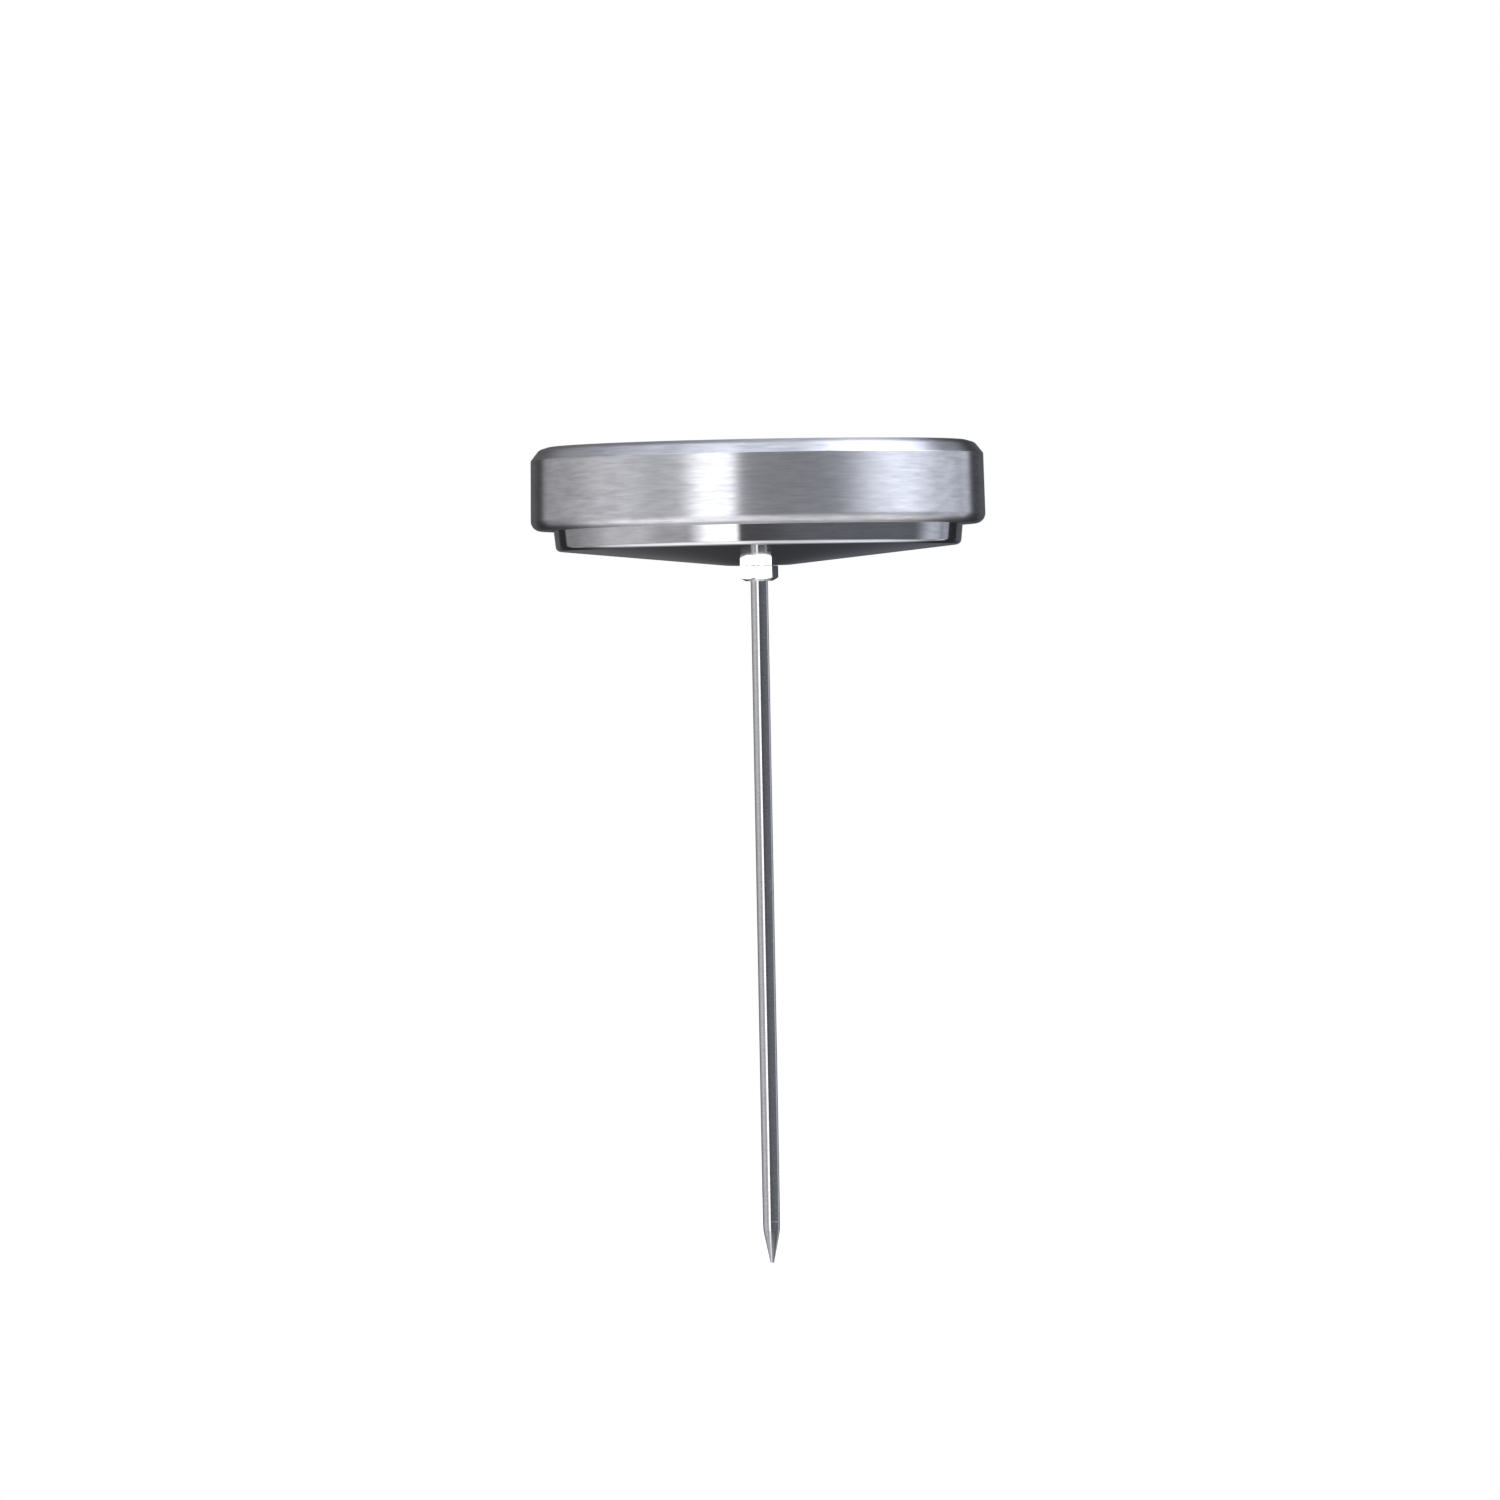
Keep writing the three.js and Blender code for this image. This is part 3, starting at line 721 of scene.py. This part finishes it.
# plain pictograms: an oven, a dial thermometer seen from the side, and a ring
def makeDialPictures():
    bm = bmesh.new()
    flat = placed(0, 0, dialHigh.z - ink["sink"])
    wide, high, line = pictures["ovenWide"], pictures["ovenHigh"], pictures["ovenLine"]
    left, foot = pictures["ovenAt"][0] - wide / 2, pictures["ovenAt"][1] - high / 2
    boxLine(bm, left, foot, wide, high, pictures["ovenEase"], line, flat)
    inset = pictures["doorIn"]
    boxLine(bm, left + inset, foot + pictures["doorFoot"], wide - 2 * inset, high - pictures["doorShort"],
            pictures["doorEase"], line, flat)
    knobUp = foot + high - pictures["knobDown"]
    for knob in range(pictures["knobs"]):
        across = left + wide * (knob + 1) / (pictures["knobs"] + 1)
        inkLine(bm, [(across, knobUp, 0), (across + 0.01, knobUp, 0)], False, pictures["knobDot"], flat)
    x, y = pictures["probeAt"]
    reach, head, line = pictures["probeLong"] / 2, pictures["headWide"], pictures["probeLine"]
    boxLine(bm, x - reach, y - head, head, 2 * head, pictures["headEase"], line, flat)
    inkLine(bm, [(x - reach + head, y, 0), (x + reach, y, 0)], False, line, flat)
    x, y = pictures["ringAt"]
    half = pictures["ringWide"] / 2
    boxLine(bm, x - half, y - half, 2 * half, 2 * half, half * 0.98, pictures["ringLine"], flat)
    return printPiece("dialPictures", bm, "whiteInk", "head", "scale_ink")


makeScaleMarks()
makeRimNumbers()
makeDialChart()
makeDialPictures()
print("printing made")


# pointer

blade = dict(half=1.25, tail=5.2, shoulder=19.8, tip=24.5, tipHalf=0.12, hole=1.0, slotFrom=20.0,
             slotTo=22.8, slotHalf=0.22, reading=130, ease=0.07)


def makeBlade():
    half, tail, shoulder = blade["half"], blade["tail"], blade["shoulder"]
    outline = easedLine([
        (-half, -tail, half * 0.98), (half, -tail, half * 0.98), (half, shoulder, 0.8),
        (blade["tipHalf"], blade["tip"], 0.1), (-blade["tipHalf"], blade["tip"], 0.1),
        (-half, shoulder, 0.8),
    ])
    slot = easedLine([
        (-blade["slotHalf"], blade["slotFrom"], 0.15), (blade["slotHalf"], blade["slotFrom"], 0.15),
        (blade["slotHalf"], blade["slotTo"], 0.15), (-blade["slotHalf"], blade["slotTo"], 0.15),
    ])
    hole = easedLine([(x * blade["hole"], y * blade["hole"], 0.98 * blade["hole"])
                      for x, y in ((-1, -1), (1, -1), (1, 1), (-1, 1))])
    bm = bmesh.new()
    edges = []
    for loop in (outline, slot, hole):
        verts = [bm.verts.new((p.x * mm, p.y * mm, bladeLow.z * mm)) for p in loop]
        edges += [bm.edges.new((verts[i - 1], verts[i])) for i in range(len(verts))]
    bmesh.ops.triangle_fill(bm, use_beauty=True, edges=edges)
    grown = bmesh.ops.extrude_face_region(bm, geom=bm.faces[:])["geom"]
    raised = [item for item in grown if isinstance(item, bmesh.types.BMVert)]
    bmesh.ops.translate(bm, verts=raised, vec=(0, 0, (bladeHigh.z - bladeLow.z) * mm))
    turn = Matrix.Rotation(math.radians(scaleAngle(blade["reading"])), 4, "Z")
    bm.transform(turn)
    return softEdges(finishPiece("pointerBlade", bm, "redPaint"), blade["ease"], 50)


hub = dict(bore=0.33, flange=1.35, waist=0.95, gap=0.05, crown=0.35, dish=0.12)


def makeHub():
    low, high = (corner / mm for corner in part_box("pointer_hub"))
    under, over = bladeLow.z - hub["gap"], bladeHigh.z + hub["gap"]
    return turned("pointerHub", [
        (hub["bore"], low.z, 0.05),
        (hub["flange"], low.z, 0.1),
        (hub["flange"], under, 0.08),
        (hub["waist"], under, 0.05),
        (hub["waist"], over, 0.05),
        (hub["flange"], over, 0.08),
        (hub["flange"], high.z - 0.05, 0.28),
        (hub["bore"] + hub["crown"], high.z, 0.6),
        (hub["bore"], high.z - hub["dish"], 0.05),
    ], "hubMetal", 96)


def makeShaft():
    low, high = (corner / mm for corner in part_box("pointer_shaft"))
    return turned("pointerShaft", [
        (0, low.z, 0), (high.y, low.z, 0.08), (high.y, high.z, 0.12), (0, high.z, 0),
    ], "springSteel", 48)


settle(makeBlade(), "pointer", "pointer_paint", "pointer")
settle(makeHub(), "pointer", "hub_metal", "pointer_hub")
settle(makeShaft(), "pointer", "spring_steel", "pointer_shaft")
print("pointer made")


# nut and stem

nut = dict(flats=5.7, high=2.5, corner=0.55, neck=2.1, bore=1.5, columns=10, ease=0.06)


# each column of the nut has its own profile, so the turned chamfer meets the flats in true curves
def makeNut():
    apothem, high = nut["flats"] / 2, nut["high"]
    chamferFoot = apothem - nut["corner"]
    bm = bmesh.new()
    columns = []
    for i in range(6 * nut["columns"]):
        offFace = (i / nut["columns"] % 1) * 60 - 30
        reach = apothem / math.cos(math.radians(offFace))
        rise = (reach - chamferFoot) * math.tan(math.radians(30))
        angle = math.radians(60 * (i // nut["columns"]) + offFace - 90)
        profile = [(nut["bore"], 0), (chamferFoot, 0), (reach, rise), (reach, high),
                   (nut["neck"], high), (nut["neck"], nutHigh.z), (nut["bore"], nutHigh.z)]
        columns.append(ringAt(bm, angle, profile))
    joinRings(bm, zip(columns, columns[1:] + columns[:1]))
    return softEdges(finishPiece("hexNut", bm, "platedSteel", 20), nut["ease"], 25)


stem = dict(bore=1.2, peg=1.15, tipRound=0.3, pointStart=1.2, shoulderEase=9.0)


def makeTube():
    return turned("stemTube", [
        (stem["bore"], tubeLow.z, 0.03), (tubeHigh.x, tubeLow.z, 0.03),
        (tubeHigh.x, tubeHigh.z, 0.15), (stem["bore"], tubeHigh.z, 0.1),
    ], "polishedSteel", 128)


def makeTip():
    return turned("stemTip", [
        (0, tipHigh.z, 0), (stem["peg"], tipHigh.z, 0.2), (stem["peg"], tubeLow.z, 0.05),
        (tubeHigh.x, tubeLow.z, 0.02), (tubeHigh.x, tubeLow.z - stem["pointStart"], stem["shoulderEase"]),
        (stem["tipRound"], tipLow.z, 0.3), (0, tipLow.z, 0),
    ], "polishedSteel", 128)


settle(makeNut(), "stem", "nut_steel", "hex_nut")
settle(makeTube(), "stem", "stem_steel", "stem_tube")
settle(makeTip(), "stem", "stem_steel", "stem_tip")
print("nut and stem made")


# works inside the head and the stem

works = dict(running=0.37, bushBody=1.15)


def makeBush():
    low, high = (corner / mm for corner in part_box("upper_bush"))
    return turned("upperBush", [
        (works["running"], low.z, 0.06), (works["bushBody"], low.z, 0.12),
        (works["bushBody"], tubeHigh.z, 0.05), (high.x, tubeHigh.z, 0.08),
        (high.x, high.z, 0.12), (works["running"], high.z, 0.06),
    ], "turnedBrass", 96)


collar = dict(bore=0.35, peg=0.67, step=-71.6)


def makeCollar():
    low, high = (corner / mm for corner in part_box("helix_collar"))
    return turned("helixCollar", [
        (collar["bore"], low.z, 0.05), (collar["peg"], low.z, 0.1), (collar["peg"], collar["step"], 0.05),
        (high.x, collar["step"], 0.1), (high.x, high.z, 0.15), (collar["bore"], high.z, 0.05),
    ], "turnedBrass", 96)


anchor = dict(peg=0.67, step=-104.2)


def makeAnchor():
    low, high = (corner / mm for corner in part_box("helix_anchor"))
    return turned("helixAnchor", [
        (0, low.z, 0), (high.x, low.z, 0.15), (high.x, anchor["step"], 0.12),
        (anchor["peg"], anchor["step"], 0.05), (anchor["peg"], high.z, 0.12), (0, high.z, 0),
    ], "springSteel", 96)


washer = dict(inner=2.35, thick=0.3, middle=3.55, wave=0.14, waves=3, ease=0.06)


def makeWasher():
    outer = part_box("friction_washer")[1].x / mm
    half = washer["thick"] / 2
    floor, top = washer["middle"] - half, washer["middle"] + half
    inner, ease = washer["inner"], washer["ease"]
    piece = turned("frictionWasher", [
        (inner, floor, ease), (outer, floor, ease), (outer, top, ease), (inner, top, ease),
    ], "springSteel", 144)
    for vert in piece.data.vertices:
        angle = math.atan2(vert.co.y, vert.co.x)
        vert.co.z += washer["wave"] * mm * math.sin(washer["waves"] * angle)
    return piece


retainer = dict(inner=2.15, slot=2.9, outer=3.8, teeth=6, toothShare=0.6, ramp=0.08, steps=20)


def makeRetainer():
    low, high = (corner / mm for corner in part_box("hub_retainer"))
    bm = bmesh.new()
    total = retainer["teeth"] * retainer["steps"]
    columns = []
    for i in range(total):
        share = i / retainer["steps"] % 1
        opening = max((share - retainer["toothShare"]) / retainer["ramp"], 0)
        closing = max((1 - share) / retainer["ramp"], 0)
        inner = retainer["inner"] + (retainer["slot"] - retainer["inner"]) * min(opening, closing, 1)
        angle = math.tau * i / total
        profile = [(inner, low.z), (retainer["outer"], low.z), (retainer["outer"], high.z), (inner, high.z)]
        columns.append(ringAt(bm, angle, profile))
    joinRings(bm, zip(columns, columns[1:] + columns[:1]))
    return evenNormals(finishPiece("hubRetainer", bm, "springSteel"))


helix = dict(radius=0.85, pitch=2.4, wide=1.6, thick=0.2, stepsPerTurn=36)


# the strip lies on edge round the axis; its ends are fixed to the pegs of the anchor and the collar
def makeHelix():
    climb = helixHigh.z - helixLow.z - helix["wide"]
    turns = climb / helix["pitch"]
    steps = round(turns * helix["stepsPerTurn"])
    inner, outer = helix["radius"] - helix["thick"] / 2, helix["radius"] + helix["thick"] / 2
    bm = bmesh.new()
    rings = []
    for i in range(steps + 1):
        along = i / steps
        angle = math.tau * turns * along
        foot = helixLow.z + climb * along
        corners = [(inner, foot), (outer, foot), (outer, foot + helix["wide"]), (inner, foot + helix["wide"])]
        rings.append(ringAt(bm, angle, corners))
    joinRings(bm, zip(rings, rings[1:]))
    bm.faces.new(rings[0])
    bm.faces.new(rings[-1][::-1])
    return finishPiece("bimetalHelix", bm, "rolledBimetal")


settle(makeBush(), "stem", "bush_brass", "upper_bush")
for guideName, guideNode in (("middleGuide", "middle_guide"), ("lowerGuide", "lower_guide")):
    settle(plainRing(guideName, guideNode, works["running"], "turnedBrass", 0.1, 96),
           "stem", "bush_brass", guideNode)
settle(makeAnchor(), "stem", "spring_steel", "helix_anchor")
settle(makeRetainer(), "stem", "spring_steel", "hub_retainer")
settle(makeCollar(), "pointer", "bush_brass", "helix_collar")
settle(makeWasher(), "head", "spring_steel", "friction_washer")
coil = makeHelix()
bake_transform(coil)
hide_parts("bimetal_helix")
print("works made")


# floor, light and camera

floorLook = dict(drop=0.6, wide=1.6, clearFrom=0.22, clearTo=0.62, mottle=60.0,
                 grey=(0.84, 0.84, 0.845, 1), pale=(0.88, 0.88, 0.885, 1))


# a pale floor that thins out into the white round it and is clear from below
def makeFloor():
    bm = bmesh.new()
    bmesh.ops.create_circle(bm, cap_ends=True, segments=96, radius=floorLook["wide"])
    mesh = bpy.data.meshes.new("floor")
    bm.to_mesh(mesh)
    bm.free()
    floor = bpy.data.objects.new("floor", mesh)
    bpy.context.scene.collection.objects.link(floor)
    floor.location.z = (tipLow.z - floorLook["drop"]) * mm
    floor.visible_glossy = False
    material, tree, shader = newMaterial("paleFloor")
    here = addNode(tree, "ShaderNodeTexCoord")
    away = addNode(tree, "ShaderNodeVectorMath", operation="LENGTH")
    feed(tree, here.outputs["Object"], away.inputs[0])
    mottle = noise(tree, here.outputs["Object"], floorLook["mottle"], 3.0)
    feed(tree, blendColours(tree, mottle, floorLook["grey"], floorLook["pale"]), shader.inputs["Base Color"])
    shader.inputs["Roughness"].default_value = 0.9
    shader.inputs["Specular IOR Level"].default_value = 0.0
    shown = remap(tree, away.outputs["Value"], floorLook["clearFrom"], floorLook["clearTo"], 1.0, 0.0, True)
    seen = addNode(tree, "ShaderNodeNewGeometry").outputs["Backfacing"]
    feed(tree, calc(tree, "MULTIPLY", shown, calc(tree, "SUBTRACT", 1.0, seen)), shader.inputs["Alpha"])
    mesh.materials.append(material)


# the camera and the lights are swung round the object together by this many degrees
swing = 11.4

# soft bright cards in the room, seen from the object: bearing is measured from the camera's side and
# grows to the right, height is above the level; each pair is (from, to) and (softness of each edge);
# one with a glow below 0 is a black flag
cards = [
    dict(bearing=(-34.5, -11.5), edges=(8, 2), height=(-24, 50), fades=(14, 14), glow=2.15),
    dict(bearing=(-141, -36), edges=(2, 8), height=(-26, 34), fades=(16, 20), glow=0.52),
    dict(bearing=(-98, -64), edges=(11, 9), height=(-20, 26), fades=(12, 14), glow=0.24),
    dict(bearing=(-152, -116), edges=(5, 16), height=(-13, 1), fades=(3, 3), glow=-0.27),
    dict(bearing=(14, 118), edges=(16, 8), height=(-17, 2), fades=(3, 3), glow=0.1),
    dict(bearing=(60, 108), edges=(20, 18), height=(8, 66), fades=(4, 12), glow=4.0),
    dict(bearing=(108, 138), edges=(9, 2), height=(-22, 26), fades=(12, 12), glow=0.7),
    dict(bearing=(130, 138), edges=(3, 2), height=(-22, 26), fades=(12, 12), glow=0.45),
    dict(bearing=(128, 148), edges=(7, 6), height=(-12, 0), fades=(3, 3), glow=-0.7),
    dict(bearing=(150, 181), edges=(5, 1), height=(14, 34), fades=(5, 4), glow=-0.15),
    dict(bearing=(-108, 130), edges=(10, 4), height=(36, 91), fades=(7, 4), glow=0.5),
    dict(bearing=(-95, 130), edges=(90, 4), height=(36, 91), fades=(7, 4), glow=0.95),
    dict(bearing=(-125, 130), edges=(12, 12), height=(-91, -26), fades=(4, 9), glow=0.7),
    dict(bearing=(-110, -2), edges=(16, 22), height=(-91, -26), fades=(4, 9), glow=0.55),
    dict(bearing=(70, 130), edges=(30, 12), height=(-91, -26), fades=(4, 9), glow=0.25),
    dict(bearing=(-185, 185), edges=(2, 2), height=(-91, -38), fades=(4, 10), glow=0.4),
]

# the room round the cards: its level, how it brightens above and darkens low behind, a strip of light
# behind, and where its light is cooler; heights and bearings are in degrees
room = dict(level=0.135, darkest=0.04, above=0.3, aboveHeight=(8.0, 60.0), behind=(0.3, 0.6),
            below=0.1, belowHeight=(-15.0, -5.0), rear=0.75, rearAcross=(-0.03, 0.38), rearSoft=(0.05, 0.06),
            rearHeight=(30.0, 40.0), tint=(0.95, 0.95, 1.0, 1), cool=(0.83, 0.87, 1.0, 1),
            coolBearing=(-15.0, 40.0), coolHeight=(15.0, 50.0), warmBelow=(-25.0, -8.0))


def makeWorld():
    world = bpy.data.worlds.new("studio")
    bpy.context.scene.world = world
    world.use_nodes = True
    tree = world.node_tree
    tree.nodes.clear()
    facing = addNode(tree, "ShaderNodeTexCoord")
    swung = addNode(tree, "ShaderNodeVectorRotate", rotation_type="Z_AXIS")
    feed(tree, facing.outputs["Generated"], swung.inputs["Vector"])
    swung.inputs["Angle"].default_value = math.radians(swing)
    parts = addNode(tree, "ShaderNodeSeparateXYZ")
    feed(tree, swung.outputs[0], parts.inputs[0])
    x, y, z = parts.outputs
    toDegrees = math.degrees(1)
    bearing = calc(tree, "MULTIPLY", calc(tree, "ARCTAN2", x, calc(tree, "MULTIPLY", y, -1.0)), toDegrees)
    height = calc(tree, "MULTIPLY", calc(tree, "ARCSINE", z), toDegrees)

    # 0 outside, 1 inside a span, with a soft edge centred on each end
    def within(value, span, soft):
        enter = remap(tree, value, span[0] - soft[0], span[0] + soft[0], 0.0, 1.0, True)
        leave = remap(tree, value, span[1] - soft[1], span[1] + soft[1], 1.0, 0.0, True)
        return calc(tree, "MULTIPLY", enter, leave)

    above = remap(tree, height, *room["aboveHeight"], room["level"], room["above"], True)
    behind = remap(tree, y, *room["behind"], 0.0, 1.0, True)
    low = remap(tree, height, *room["belowHeight"], room["below"], 0.0, True)
    below = calc(tree, "MULTIPLY", behind, low)
    high = calc(tree, "MULTIPLY", behind, remap(tree, height, *room["rearHeight"], 0.0, room["rear"], True))
    rear = calc(tree, "MULTIPLY", within(x, room["rearAcross"], room["rearSoft"]), high)
    light = calc(tree, "ADD", calc(tree, "SUBTRACT", above, below), rear)
    for card in cards:
        shown = calc(tree, "MULTIPLY", within(bearing, card["bearing"], card["edges"]),
                     within(height, card["height"], card["fades"]))
        light = calc(tree, "MULTIPLY_ADD", shown, card["glow"], light)
    surround = addNode(tree, "ShaderNodeBackground")
    coolness = calc(tree, "MAXIMUM", remap(tree, bearing, *room["coolBearing"], 0.0, 1.0, True),
                    remap(tree, height, *room["coolHeight"], 0.0, 1.0, True))
    coolness = calc(tree, "MULTIPLY", coolness, remap(tree, height, *room["warmBelow"], 0.0, 1.0, True))
    feed(tree, blendColours(tree, coolness, room["tint"], room["cool"]), surround.inputs["Color"])
    feed(tree, calc(tree, "MAXIMUM", light, room["darkest"]), surround.inputs["Strength"])
    paper = addNode(tree, "ShaderNodeBackground")
    feed(tree, (1, 1, 1, 1), paper.inputs["Color"])
    feed(tree, 1.0, paper.inputs["Strength"])
    path = addNode(tree, "ShaderNodeLightPath")
    mix = addNode(tree, "ShaderNodeMixShader")
    feed(tree, path.outputs["Is Camera Ray"], mix.inputs[0])
    feed(tree, surround.outputs[0], mix.inputs[1])
    feed(tree, paper.outputs[0], mix.inputs[2])
    out = addNode(tree, "ShaderNodeOutputWorld")
    feed(tree, mix.outputs[0], out.inputs["Surface"])


# a soft key from the camera's left for whatever isn't mirror bright; the cards above make the reflections
keyPanel = dict(bearing=-30, above=2, away=0.9, size=0.3, watts=16)

# two small panels that face the nut's front and left flats and light nothing else
nutPanels = [dict(bearing=22, above=0, away=0.5, size=0.4, watts=1.5),
             dict(bearing=-97, above=0, away=0.5, size=0.4, watts=1.5)]


def makePanel(name, look, glossy=False):
    light = bpy.data.lights.new(name, "AREA")
    light.shape = "DISK"
    light.size = look["size"]
    light.energy = look["watts"]
    lamp = bpy.data.objects.new(name, light)
    bpy.context.scene.collection.objects.link(lamp)
    turn = Matrix.Rotation(math.radians(look["bearing"] - swing), 3, "Z")
    lift = Matrix.Rotation(math.radians(-look["above"]), 3, "X")
    outward = turn @ lift @ Vector((0, -1, 0))
    lamp.location = outward * look["away"]
    lamp.rotation_euler = outward.to_track_quat("Z", "Y").to_euler()
    lamp.visible_camera = False
    lamp.visible_glossy = glossy
    return lamp


def makeLamps():
    makePanel("keyPanel", keyPanel)
    lit = bpy.data.collections.new("nutPanelTargets")
    lit.objects.link(bpy.data.objects["hexNut"])
    for i, look in enumerate(nutPanels):
        lamp = makePanel(f"nutPanel{i + 1}", look, glossy=True)
        lamp.light_linking.receiver_collection = lit


# in mm and degrees; the stem's root is this far to the right of and above the middle of the view
eye = dict(away=2100, lens=301, sensor=36, near=50, far=20000, tilt=1.1, rootAside=1.55, rootAbove=28.32)


def makeCamera():
    data = bpy.data.cameras.new("camera")
    data.lens, data.sensor_width = eye["lens"], eye["sensor"]
    data.clip_start, data.clip_end = eye["near"] * mm, eye["far"] * mm
    camera = bpy.data.objects.new("camera", data)
    bpy.context.scene.collection.objects.link(camera)
    tilt = math.radians(eye["tilt"])
    aside, above = Matrix.Rotation(-tilt, 2) @ Vector((eye["rootAside"], eye["rootAbove"]))
    stand = Matrix.Translation(Vector((-aside, -eye["away"], -above)) * mm)
    level = Matrix.Rotation(math.radians(90), 4, "X") @ Matrix.Rotation(-tilt, 4, "Z")
    camera.matrix_world = Matrix.Rotation(math.radians(-swing), 4, "Z") @ stand @ level
    bpy.context.scene.camera = camera


makeFloor()
makeWorld()
makeLamps()
makeCamera()
bpy.context.scene.view_settings.view_transform = "Standard"
print("floor, light and camera made")
